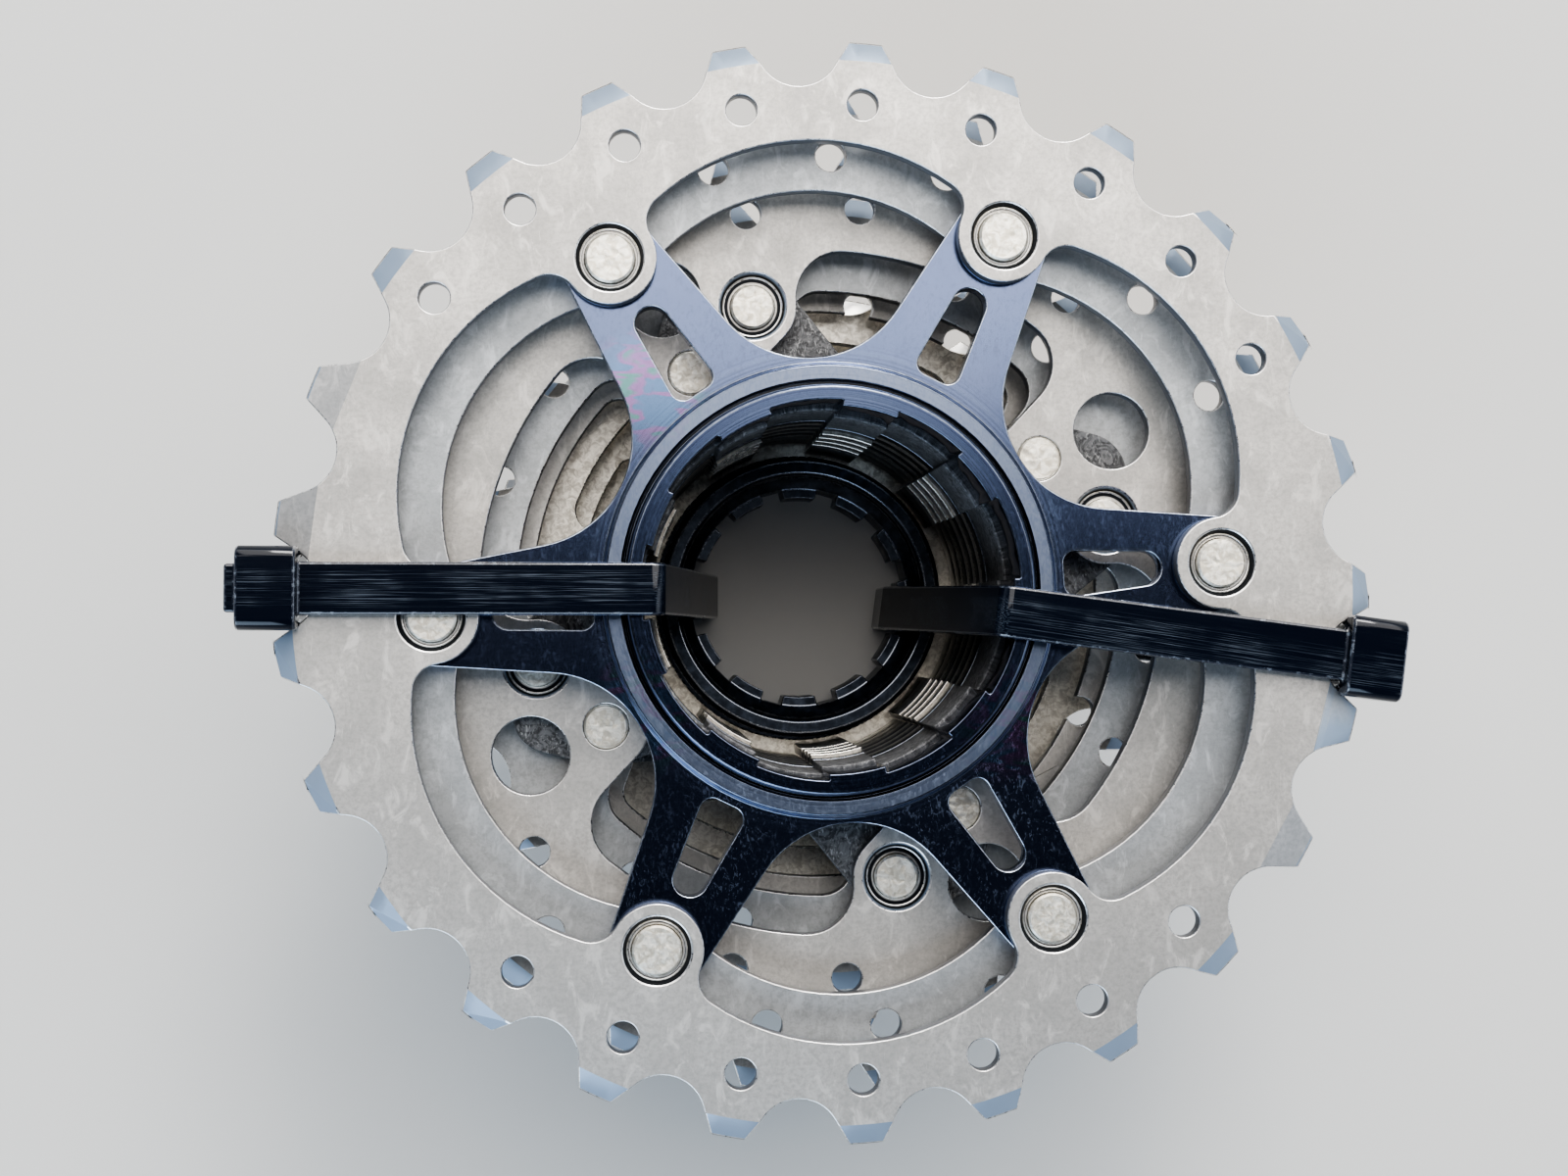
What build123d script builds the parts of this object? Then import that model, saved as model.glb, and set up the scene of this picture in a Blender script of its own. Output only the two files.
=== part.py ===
"""Eleven-speed road cassette, 11 to 25 teeth, bundled with two nylon ties.

Millimetres. The origin is the centre of the freehub bore on the back face of the
largest sprocket. +Z points inboard, away from the small sprockets, and +X runs
between the two ties.
"""

from build123d import *
from math import atan2, cos, degrees, pi, radians, sin
import os

# Chain and tooth form
CHAIN_PITCH = 12.7
SEAT_RADIUS = 3.93
FLANK_ANGLE = 56.7
ADDENDUM = 0.4
PLATE = 1.6
LAYER_PITCH = 3.74
BACK_BEVEL = (1.95, 0.95)
GATE_BEVEL = (3.5, 0.9)
FRONT_BEVEL = (1.3, 0.5)
GAP_MOUTH = 2.5
TOOTH_HOLE_RADIUS = 1.45
TOOTH_HOLE_DROP = 5.6
RAMP_SIZE = (8.5, 3.6, 0.5)
RAMP_SLANT = 52.0
RAMP_DROP = 1.2
STEEL_RAMPS = 3
STEEL_WINDOWS = 6
TITANIUM_RAMPS = 4

# Nine-groove freehub bore
GROOVES = 9
GROOVE_PHASE = 37.9
KEY_WIDTH = 5.3
INDEX_KEY_WIDTH = 3.4
STEEL_BORE = (17.3, 16.2)
CARBON_BORE = (17.4, 16.7)
ALLOY_BORE = (17.6, 17.0)
HUB_RADIUS = 20.2
HUB_WAIST = 0.8
SPACER_RADIUS = 19.8
SPACER_GROOVE = (0.5, 0.45)
SPACER_EASE = 0.4

# Six-armed aluminium spider, which carries the two largest sprockets
ARMS = 6
ARM_PHASE = 4.0
ARM_RIVET_CIRCLE = 36.7
ARM_REACH = 40.6
ARM_BOSS_RADIUS = 4.3
RING_ARCHES = {25: (41.7, 22.0, 2.6), 23: (37.8, 20.0, 1.5)}
SCALLOP_RADIUS = 10.0
SCALLOP_FLOOR = 21.7
SCALLOP_SLOPE = 37.4
ARM_SLOT_OUTER = (29.7, 1.6)
ARM_SLOT_INNER = (23.2, 0.95, 1.15)
BAND_RADIUS = 21.2
BAND_TOP = -1.0
COLLAR_RADIUS = 19.05
COLLAR_TOP = -0.15
COLLAR_GROOVE = (19.5, -1.9)
HUB_CHAMFERS = (0.25, 0.3)

# Four-armed carbon spider, which carries the next three
LOBES = 4
OUTER_RIVET = (28.2, 14.2)
INNER_RIVET = (24.5, 31.7)
ROUND_WINDOW = (32.0, 29.2, 3.7)

# Rivets
ARM_RIVET_RADIUS = 2.3
SPIDER_RIVET_RADIUS = 2.12
RIVET_GAP = 0.04
RIVET_EDGE = 0.2
RIVET_SINK = 0.08
RIVET_PROUD = 0.05
DISH_SLOPE = 0.45
ARM_RECESS = (3.2, 0.75)
SPIDER_RECESS = (3.3, 0.7)
CLENCH = (3.1, 0.5)

# Lock ring
FLANGE_RADIUS = 16.9
FLANGE_THICK = 2.15
THREAD_RADIUS = 15.25
THREAD_PITCH = 1.0
THREAD_DEPTH = 0.5
THREAD_LAND = 0.2
TUBE_BORE = 13.2
TUBE_LENGTH = 5.8
SOCKET_TIP_RADIUS = 10.95
SOCKET_ROOT_RADIUS = 11.95
SOCKET_SPLINES = 12
NOTCH_WIDTH = 2.3
SOCKET_DEPTH = 5.2
SOCKET_RELIEF = 0.9
RING_CHAMFER = 0.5
BORE_CHAMFER = 0.4
WASHER = (15.7, 18.2, 0.4)
TURNING_GAP = 0.05

# Nylon ties
TIE_WIDTH = 4.8
TIE_THICK = 1.3
TIE_ANGLES = {"cable_tie_left": 180.0, "cable_tie_right": -7.2}
TIE_CLEARANCE = 0.35
TIE_HEAD = (48.4, 53.8, 7.6, -4.6, 2.3)
TIE_TAILS = {"cable_tie_left": 1.1, "cable_tie_right": 0.35}
TIE_HEAD_CORNER = 1.0
TIE_FACE_GAP = 0.02
TIE_TOOTH_GAP = 0.12

# How far a cutter runs past the face that it cuts, and the block that bevels a tooth
OVERCUT = 0.1
CUTTER = (8.0, 7.0, 3.0)

# Every sprocket from the back: teeth, angle of one tooth, drilled teeth
SPROCKETS = {
    25: (0.0, [*range(2, 11), *range(16, 23)]),
    23: (-4.2, [*range(2, 8), *range(15, 20)]),
    21: (-1.0, [*range(3, 7), *range(13, 17)]),
    19: (9.4, [2, 3, 7, 8, 12, 13, 17, 18]),
    17: (-2.9, [3, 4, 9, 10, 15, 16]),
    16: (5.0, []),
    15: (8.0, []),
    14: (0.0, []),
    13: (11.0, []),
    12: (3.0, []),
    11: (-11.2, []),
}
LAYERS = {teeth: -LAYER_PITCH * place for place, teeth in enumerate(SPROCKETS)}
TWISTED_TEETH = [0, 1, 2, 3, 13, 14, 15, 16]
GATE_TEETH = [11, 12, 23, 24]


def on_circle(shape, radius, angle):
    """A shape carried out along a radius, and turned with it."""
    return Rot(0, 0, angle) * Pos(radius, 0, 0) * shape


def slab(outline, top, thick):
    """A flat plate hanging down from its top face."""
    return Pos(0, 0, top - thick) * extrude(outline, amount=thick)


def through(outline, top, bottom):
    """A straight cutter that runs just past both faces of a plate."""
    return slab(outline, top + OVERCUT, top - bottom + 2 * OVERCUT)


def turned(points):
    """A solid turned about the axle from a closed outline of (radius, height)."""
    return revolve(Plane.XZ * make_face(Polyline(*points, close=True)), Axis.Z)


def pitch_radius(teeth):
    """Radius on which the chain's rollers sit."""
    return CHAIN_PITCH / 2 / sin(pi / teeth)


def root_radius(teeth):
    """Radius at the floor of a tooth gap."""
    return pitch_radius(teeth) - SEAT_RADIUS


def tip_radius(teeth):
    """Radius at the top of a tooth."""
    return pitch_radius(teeth) + ADDENDUM


def front_of(teeth):
    """Height of a sprocket's outboard face."""
    return LAYERS[teeth] - PLATE


def tooth_gap(teeth, relief=0.0):
    """The gap between two teeth, centred on +X: a round seat and two straight flanks."""
    centre = pitch_radius(teeth)
    seat = SEAT_RADIUS - relief
    lean = radians(FLANK_ANGLE)
    seat_x = centre - seat * cos(lean)
    seat_y = seat * sin(lean)
    mouth_x = centre + GAP_MOUTH
    mouth_y = seat_y + (mouth_x - seat_x) * cos(lean) / sin(lean)
    floor = ThreePointArc((seat_x, -seat_y), (centre - seat, 0), (seat_x, seat_y))
    sides = Polyline((seat_x, seat_y), (mouth_x, mouth_y), (mouth_x, -mouth_y), (seat_x, -seat_y))
    return make_face([floor, *sides.edges()])


def toothed_disc(teeth, phase, relief=0.0):
    """Flat outline of a sprocket with nothing cut out of its middle."""
    step = 360 / teeth
    gap = tooth_gap(teeth, relief)
    gaps = [Rot(0, 0, phase + (tooth + 0.5) * step) * gap for tooth in range(teeth)]
    return Circle(tip_radius(teeth) + relief) - gaps


def tip_bevel(teeth, face, width, depth, down):
    """Ring that bevels the tooth tips: from the back when down is -1, from the front when 1."""
    inner = tip_radius(teeth) - width
    over = 0.5
    outer = inner + width + over
    fall = face + down * depth * (width + over) / width
    clear = face - down * over
    return turned([(inner, face), (outer, fall), (outer, clear), (inner, clear)])


def twist_cut(teeth, angle, face):
    """Tilted cut that slices one corner off a tooth's back."""
    tip = tip_radius(teeth)
    half_tooth = 1.5
    low_corner_fall = 1.35
    inner = Vector(tip - BACK_BEVEL[0] - OVERCUT, half_tooth + 1.1, face)
    outer = Vector(tip, -half_tooth, face - BACK_BEVEL[1])
    corner = Vector(tip, half_tooth + OVERCUT, face - low_corner_fall)
    along = outer - inner
    normal = along.cross(corner - inner)
    if normal.Z < 0:
        normal = normal * -1
    plane = Plane(origin=(inner + outer) * 0.5, x_dir=along, z_dir=normal)
    blade = plane * Box(*CUTTER, align=(Align.CENTER, Align.CENTER, Align.MIN))
    return Rot(0, 0, angle) * blade


def gate_cut(teeth, angle, face):
    """Deep bevel on the back of a tooth where the chain drops to the next sprocket."""
    tip = tip_radius(teeth)
    width, depth = GATE_BEVEL
    fall = degrees(atan2(depth, width))
    blade = Rot(0, fall, 0) * Box(*CUTTER, align=(Align.MIN, Align.CENTER, Align.MIN))
    return Rot(0, 0, angle) * Pos(tip - width, 0, face) * blade


def shift_ramps(teeth, phase, count):
    """Shallow slanting pockets on the outboard face that lift the chain."""
    length, width, depth = RAMP_SIZE
    pocket = Rot(0, 0, RAMP_SLANT) * SlotOverall(length, width)
    step = 360 / teeth
    cuts = []
    for place in range(count):
        tooth = round(place * teeth / count) + 0.5
        outline = on_circle(pocket, root_radius(teeth) - RAMP_DROP, phase + tooth * step)
        cuts.append(Pos(0, 0, front_of(teeth)) * extrude(outline, amount=depth))
    return cuts


def freehub_bore(sizes, top, bottom):
    """The open space of the splined bore, with one narrow key to index it."""
    groove_r, key_r = sizes
    step = 360 / GROOVES
    reach = 10.0
    keys = []
    for place in range(GROOVES):
        width = INDEX_KEY_WIDTH if place == GROOVES - 1 else KEY_WIDTH
        keys.append(on_circle(Rectangle(reach, width), key_r + reach / 2 - 1, GROOVE_PHASE + place * step))
    return through(Circle(key_r) + (Circle(groove_r) - keys), top, bottom)


def tooth_holes(teeth):
    """Lightening holes drilled behind the chosen teeth."""
    phase, drilled = SPROCKETS[teeth]
    step = 360 / teeth
    radius = pitch_radius(teeth) - TOOTH_HOLE_DROP
    outlines = [on_circle(Circle(TOOTH_HOLE_RADIUS), radius, phase + tooth * step) for tooth in drilled]
    return [through(outline, LAYERS[teeth], front_of(teeth)) for outline in outlines]


def sprocket_blank(teeth, opening=None, ramps=TITANIUM_RAMPS):
    """A bevelled, toothed plate with its middle, holes and shift ramps cut."""
    phase = SPROCKETS[teeth][0]
    back = LAYERS[teeth]
    outline = toothed_disc(teeth, phase)
    if opening is not None:
        outline = outline - opening
    plate = slab(outline, back, PLATE)
    cuts = [tip_bevel(teeth, back, *BACK_BEVEL, -1), tip_bevel(teeth, front_of(teeth), *FRONT_BEVEL, 1)]
    cuts += tooth_holes(teeth)
    cuts += shift_ramps(teeth, phase, ramps)
    return plate - cuts


def rivet_points(circle, angle, count):
    """Angles and radius of a circle of rivets."""
    return [(circle, angle + place * 360 / count) for place in range(count)]


ARM_RIVETS = rivet_points(ARM_RIVET_CIRCLE, ARM_PHASE, ARMS)
OUTER_RIVETS = rivet_points(*OUTER_RIVET, LOBES)
INNER_RIVETS = rivet_points(*INNER_RIVET, LOBES)
ROUND_WINDOWS = rivet_points(ROUND_WINDOW[0], ROUND_WINDOW[1], LOBES)


def drilled(points, radius, top, bottom):
    """Through holes at rivet points."""
    return [through(on_circle(Circle(radius), *point), top, bottom) for point in points]


def dished(points, recess, top):
    """Round dishes, sloping at the wall, that sink the rivet heads below a plate's back."""
    wide, depth = recess
    floor = Pos(0, 0, top - depth) * Circle(wide - DISH_SLOPE)
    mouth = Pos(0, 0, top + OVERCUT / 5) * Circle(wide)
    dish = loft([floor.face(), mouth.face()])
    return [on_circle(dish, *point) for point in points]


def rivets(points, radius, top, bottom):
    """One row of rivets, clenched over on the outboard side."""
    edge = RIVET_EDGE
    head_r, head_thick = CLENCH
    head = bottom - head_thick
    outline = [(0, top), (radius - edge, top), (radius, top - edge), (radius, bottom)]
    outline += [(head_r, bottom), (head_r, head + edge), (head_r - 2 * edge, head), (0, head)]
    rivet = turned(outline)
    return Compound([on_circle(rivet, *point) for point in points])


def rounded(opening, radius):
    """An opening as a round cutter leaves it, with no corner sharper than the cutter."""
    return offset(offset(opening, -radius, kind=Kind.ARC), radius, kind=Kind.ARC)


def arched_opening(teeth):
    """Middle of a riveted ring: one arch between each pair of bosses, with soft corners."""
    rim, arch_radius, corner = RING_ARCHES[teeth]
    arches = Circle(ARM_RIVET_CIRCLE - ARM_BOSS_RADIUS - 1)
    for place in range(ARMS):
        middle = ARM_PHASE + (place + 0.5) * 360 / ARMS
        arches += on_circle(Circle(arch_radius), rim - arch_radius, middle)
    bosses = [on_circle(Circle(ARM_BOSS_RADIUS), *point) for point in ARM_RIVETS]
    return rounded(arches - bosses, corner)


def hull(circles):
    """The shape of a band stretched round circles, each given as (radius, angle, size)."""
    outlines = [on_circle(Circle(size), radius, angle) for radius, angle, size in circles]
    return make_hull([edge for outline in outlines for edge in outline.edges()])


def lobed_opening(rim, lobe, corner):
    """Middle of a riveted ring with four lobes that reach in to the carbon spider."""
    outline = Circle(rim)
    for place in range(LOBES):
        outline -= Rot(0, 0, place * 360 / LOBES) * hull(lobe)
    return rounded(outline, corner)


def sprocket_25t():
    """Largest sprocket: a thin titanium ring riveted behind the aluminium spider."""
    back = LAYERS[25]
    step = 360 / 25
    plate = sprocket_blank(25, arched_opening(25))
    plate -= drilled(ARM_RIVETS, ARM_RIVET_RADIUS + RIVET_GAP, back, front_of(25))
    plate -= dished(ARM_RIVETS, ARM_RECESS, back)
    plate -= [twist_cut(25, tooth * step, back) for tooth in TWISTED_TEETH]
    return plate - [gate_cut(25, tooth * step, back) for tooth in GATE_TEETH]


def sprocket_23t():
    """Second titanium ring, riveted to the front of the same arms."""
    plate = sprocket_blank(23, arched_opening(23))
    return plate - drilled(ARM_RIVETS, ARM_RIVET_RADIUS + RIVET_GAP, LAYERS[23], front_of(23))


def sprocket_21t():
    """Titanium ring with four lobes, each with two rivets and a round window."""
    lobe = [(*OUTER_RIVET, 4.2), (*INNER_RIVET, 4.1), (32.5, 14.8, 4.2), (32.5, 35.0, 4.4)]
    plate = sprocket_blank(21, lobed_opening(32.8, lobe, 4.5))
    hole = SPIDER_RIVET_RADIUS + RIVET_GAP
    plate -= drilled(OUTER_RIVETS + INNER_RIVETS, hole, LAYERS[21], front_of(21))
    plate -= drilled(ROUND_WINDOWS, ROUND_WINDOW[2], LAYERS[21], front_of(21))
    return plate - dished(OUTER_RIVETS, SPIDER_RECESS, LAYERS[21])


def sprocket_19t():
    """Titanium ring between the two decks of the carbon spider."""
    lobe = [(*OUTER_RIVET, 3.9), (*INNER_RIVET, 3.9), (30.0, 14.2, 3.9), (29.5, 35.0, 3.9)]
    plate = sprocket_blank(19, lobed_opening(29.5, lobe, 3.0))
    hole = SPIDER_RIVET_RADIUS + RIVET_GAP
    return plate - drilled(OUTER_RIVETS + INNER_RIVETS, hole, LAYERS[19], front_of(19))


def sprocket_17t():
    """Smallest titanium ring, held by the inner rivets alone."""
    radius, angle = INNER_RIVET
    lobe = [(radius, angle, 3.8), (28.5, angle - 7, 3.4), (28.5, angle + 7, 3.4)]
    plate = sprocket_blank(17, lobed_opening(28.1, lobe, 2.0))
    return plate - drilled(INNER_RIVETS, SPIDER_RIVET_RADIUS + RIVET_GAP, LAYERS[17], front_of(17))


def steel_sprocket(teeth, window=None):
    """Loose steel sprocket that slides straight onto the freehub."""
    plate = sprocket_blank(teeth, ramps=STEEL_RAMPS)
    if window is not None:
        middle, height, half_angle, turn = window
        slot = SlotArc(CenterArc((0, 0), middle, turn - half_angle, 2 * half_angle), height)
        slots = [Rot(0, 0, place * 360 / STEEL_WINDOWS) * slot for place in range(STEEL_WINDOWS)]
        plate -= [through(outline, LAYERS[teeth], front_of(teeth)) for outline in slots]
    return plate - freehub_bore(STEEL_BORE, LAYERS[teeth], front_of(teeth))


def bossed_sprocket(teeth, larger, boss_radius):
    """Small sprocket with its own spacer turned on the inboard side."""
    back = LAYERS[teeth]
    seat = front_of(larger)
    plate = sprocket_blank(teeth, ramps=0) + slab(Circle(boss_radius), seat, seat - back)
    return plate - freehub_bore(STEEL_BORE, seat, front_of(teeth))


def spacer(larger, smaller):
    """Anodised ring that keeps two loose sprockets a chain's width apart."""
    top = front_of(larger)
    bottom = LAYERS[smaller]
    depth, lip = SPACER_GROOVE
    floor = SPACER_RADIUS - depth
    past = SPACER_RADIUS + depth
    waist = turned([(floor, top - lip), (past, top - lip), (past, bottom + lip), (floor, bottom + lip)])
    body = slab(Circle(SPACER_RADIUS), top, top - bottom) - waist
    groove_r, key_r = STEEL_BORE
    return body - freehub_bore((groove_r, key_r + SPACER_EASE), top, bottom)


def scallop():
    """The open bay between two arms: a round floor running into two straight sides."""
    slope = radians(SCALLOP_SLOPE)
    centre = SCALLOP_FLOOR + SCALLOP_RADIUS
    foot_x = centre - SCALLOP_RADIUS * sin(slope)
    foot_y = SCALLOP_RADIUS * cos(slope)
    far_x = ARM_REACH + 5
    far_y = foot_y + (far_x - foot_x) * sin(slope) / cos(slope)
    floor = ThreePointArc((foot_x, -foot_y), (SCALLOP_FLOOR, 0), (foot_x, foot_y))
    sides = Polyline((foot_x, foot_y), (far_x, far_y), (far_x, -far_y), (foot_x, -foot_y))
    return make_face([floor, *sides.edges()])


def arm_slot():
    """Lightening slot along an arm, wider at the hub end."""
    outer_x, outer_r = ARM_SLOT_OUTER
    inner_x, half_width, inner_r = ARM_SLOT_INNER
    circles = [Pos(inner_x, side * half_width) * Circle(inner_r) for side in (-1, 1)]
    circles.append(Pos(outer_x, 0) * Circle(outer_r))
    return make_hull([edge for circle in circles for edge in circle.edges()])


def alloy_spider():
    """Forged and anodised aluminium spider with its turned hub."""
    back = front_of(25)
    front = LAYERS[23]
    outline = Circle(ARM_REACH)
    for place in range(ARMS):
        angle = ARM_PHASE + place * 360 / ARMS
        outline -= Rot(0, 0, angle + 180 / ARMS) * scallop()
        outline -= Rot(0, 0, angle) * arm_slot()
    outline -= [on_circle(Circle(ARM_RIVET_RADIUS + RIVET_GAP), *point) for point in ARM_RIVETS]
    groove_r, groove_floor = COLLAR_GROOVE
    collar_edge, band_edge = HUB_CHAMFERS
    lower_end = LAYERS[21]
    core = ALLOY_BORE[1] / 2
    profile = [(core, COLLAR_TOP), (COLLAR_RADIUS - collar_edge, COLLAR_TOP)]
    profile += [(COLLAR_RADIUS, COLLAR_TOP - collar_edge), (COLLAR_RADIUS, groove_floor)]
    profile += [(groove_r, groove_floor), (groove_r, BAND_TOP), (BAND_RADIUS - band_edge, BAND_TOP)]
    profile += [(BAND_RADIUS, back), (BAND_RADIUS, front), (HUB_RADIUS, front - HUB_WAIST)]
    profile += [(HUB_RADIUS, lower_end), (core, lower_end)]
    hub = turned(profile)
    spider = slab(outline, back, back - front) + hub
    return spider - freehub_bore(ALLOY_BORE, COLLAR_TOP, lower_end)


def carbon_deck(circles, top, bottom):
    """One layer of the four carbon arms."""
    outline = Circle(HUB_RADIUS)
    for place in range(LOBES):
        outline += Rot(0, 0, place * 360 / LOBES) * hull(circles)
    return slab(outline, top, top - bottom)


def carbon_spider():
    """Moulded carbon-fibre spider: a long hub with two decks of arms."""
    rear_arms = [(*OUTER_RIVET, 3.9), (*INNER_RIVET, 3.9), (28.2, 24.0, 4.1)]
    rear_arms += [(19.5, -5.0, 2.2), (19.0, 41.0, 2.2)]
    front_arms = [(*INNER_RIVET, 3.8), (18.6, 8.0, 2.2), (18.6, 50.0, 2.2)]
    spider = slab(Circle(HUB_RADIUS), LAYERS[21], LAYERS[21] - front_of(17))
    spider += carbon_deck(rear_arms, front_of(21), LAYERS[19])
    spider += carbon_deck(front_arms, front_of(19), LAYERS[17])
    hole = SPIDER_RIVET_RADIUS + RIVET_GAP
    spider -= drilled(OUTER_RIVETS, hole, front_of(21), LAYERS[19])
    spider -= drilled(INNER_RIVETS, hole, front_of(21), LAYERS[17])
    return spider - freehub_bore(CARBON_BORE, LAYERS[21], front_of(17))


def lock_ring():
    """Lock ring: outer flange, threaded tube and a splined socket for the tool."""
    seat = front_of(11) - WASHER[2] - TURNING_GAP
    face = seat - FLANGE_THICK
    mouth = seat + TUBE_LENGTH
    shelf = face + SOCKET_DEPTH
    outline = [(SOCKET_TIP_RADIUS, face), (FLANGE_RADIUS - RING_CHAMFER, face)]
    outline += [(FLANGE_RADIUS, face + RING_CHAMFER), (FLANGE_RADIUS, seat), (THREAD_RADIUS, seat)]
    height = seat + THREAD_PITCH
    while height + THREAD_PITCH < mouth:
        outline += [(THREAD_RADIUS, height - THREAD_PITCH / 2), (THREAD_RADIUS - THREAD_DEPTH, height)]
        outline += [(THREAD_RADIUS, height + THREAD_PITCH / 2)]
        height += THREAD_PITCH + THREAD_LAND
    outline += [(THREAD_RADIUS, mouth - RING_CHAMFER), (THREAD_RADIUS - RING_CHAMFER, mouth)]
    outline += [(TUBE_BORE + BORE_CHAMFER, mouth), (TUBE_BORE, mouth - BORE_CHAMFER)]
    outline += [(TUBE_BORE, shelf + SOCKET_RELIEF), (SOCKET_ROOT_RADIUS, shelf), (SOCKET_TIP_RADIUS, shelf)]
    body = turned(outline)
    step = 360 / SOCKET_SPLINES
    notch = Rectangle(2 * (SOCKET_ROOT_RADIUS - SOCKET_TIP_RADIUS), NOTCH_WIDTH)
    notches = [on_circle(notch, SOCKET_TIP_RADIUS, (place + 0.5) * step) for place in range(SOCKET_SPLINES)]
    return body - [through(outline, shelf + SOCKET_RELIEF / 2, face) for outline in notches]


def tie_loop():
    """Side view, as (radius, height), of the space that a tight tie encloses."""
    floor = front_of(11) - WASHER[2] - TURNING_GAP - FLANGE_THICK - TIE_CLEARANCE
    shelf = floor + SOCKET_DEPTH + 1.0
    toe = tip_radius(11)
    throat = SOCKET_TIP_RADIUS - TIE_CLEARANCE - 0.3
    mouth = STEEL_BORE[1] + 0.4
    head_inner, head_low = TIE_HEAD[0], TIE_HEAD[3]
    inside_head = head_inner + 0.8
    points = [(inside_head, TIE_FACE_GAP), (mouth, TIE_FACE_GAP), (throat, shelf), (throat, floor)]
    points += [(FLANGE_RADIUS + TIE_CLEARANCE, floor), (toe + 0.06, front_of(11) - 0.08)]
    return points + [(inside_head, head_low)]


def cable_tie(angle, tail):
    """One pulled-up cable tie, its head wedged in a tooth gap of the largest sprocket."""
    inner_r, outer_r, wide, low, high = TIE_HEAD
    space = make_face(Polyline(*tie_loop(), close=True))
    side_view = offset(space, TIE_THICK, kind=Kind.ARC) - space
    strap = extrude(Plane.XZ * side_view, amount=TIE_WIDTH / 2, both=True)
    middle = (inner_r + outer_r) / 2
    head = Pos(middle, 0, (low + high) / 2) * Box(outer_r - inner_r, wide, high - low)
    head = fillet(head.edges().filter_by(Axis.X), TIE_HEAD_CORNER)
    gap = TIE_TOOTH_GAP
    head -= slab(toothed_disc(25, 180 / 25, gap), gap, PLATE + 2 * gap)
    root = 1.0
    stub = Box(tail + root, TIE_WIDTH - 0.4, TIE_THICK, align=(Align.MIN, Align.CENTER, Align.MIN))
    return Rot(0, 0, angle) * (strap + head + Pos(outer_r - root, 0, TIE_FACE_GAP) * stub)


def build():
    """Every piece of the cassette by name."""
    arm_heads = LAYERS[25] - RIVET_SINK
    outer_heads = LAYERS[21] - RIVET_SINK
    inner_heads = LAYERS[21] + RIVET_PROUD
    pieces = {
        "sprocket_25t": sprocket_25t(),
        "sprocket_23t": sprocket_23t(),
        "sprocket_21t": sprocket_21t(),
        "sprocket_19t": sprocket_19t(),
        "sprocket_17t": sprocket_17t(),
        "sprocket_16t": steel_sprocket(16, (23.4, 4.4, 19.0, 20.0)),
        "sprocket_15t": steel_sprocket(15, (22.3, 2.8, 18.0, 44.0)),
        "sprocket_14t": steel_sprocket(14),
        "sprocket_13t": steel_sprocket(13),
        "sprocket_12t": bossed_sprocket(12, 13, 19.5),
        "sprocket_11t": bossed_sprocket(11, 12, 18.3),
        "alloy_spider": alloy_spider(),
        "carbon_spider": carbon_spider(),
        "alloy_spider_rivets": rivets(ARM_RIVETS, ARM_RIVET_RADIUS, arm_heads, front_of(23)),
        "carbon_outer_rivets": rivets(OUTER_RIVETS, SPIDER_RIVET_RADIUS, outer_heads, front_of(19)),
        "carbon_inner_rivets": rivets(INNER_RIVETS, SPIDER_RIVET_RADIUS, inner_heads, front_of(17)),
        "lock_ring": lock_ring(),
        "lock_ring_washer": slab(Circle(WASHER[1]) - Circle(WASHER[0]), front_of(11), WASHER[2]),
    }
    for larger, smaller in ((17, 16), (16, 15), (15, 14), (14, 13)):
        pieces[f"spacer_{larger}_{smaller}"] = spacer(larger, smaller)
    for name, angle in TIE_ANGLES.items():
        pieces[name] = cable_tie(angle, TIE_TAILS[name])
    return pieces


os.makedirs("parts", exist_ok=True)
for node, shape in build().items():
    export_step(shape, f"parts/{node}.step")
    box = shape.bounding_box()
    print(f"{node:22s} {len(shape.solids()):2d} solids {shape.volume:9.1f} mm3 "
          f"z {box.min.Z:7.2f} to {box.max.Z:6.2f} across {box.size.X:6.2f} x {box.size.Y:6.2f}")
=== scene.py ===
# %% [markdown]
# # A road cassette, bundled with two cable ties
#
# The object is a cone of eleven toothed sprockets, seen from its big end. Titanium rings are
# riveted to a blue-black aluminium spider and to a carbon one, steel sprockets lie loose under
# them, and a lock ring closes the small end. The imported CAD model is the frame: it gives every
# shape and place, in metres. This script gives each piece its finish, forges the dented rivets,
# softens the edges and lights the bundle.

# %% Load the frame
import math

import bmesh
import bpy
from mathutils import Matrix, Vector, noise


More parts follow.
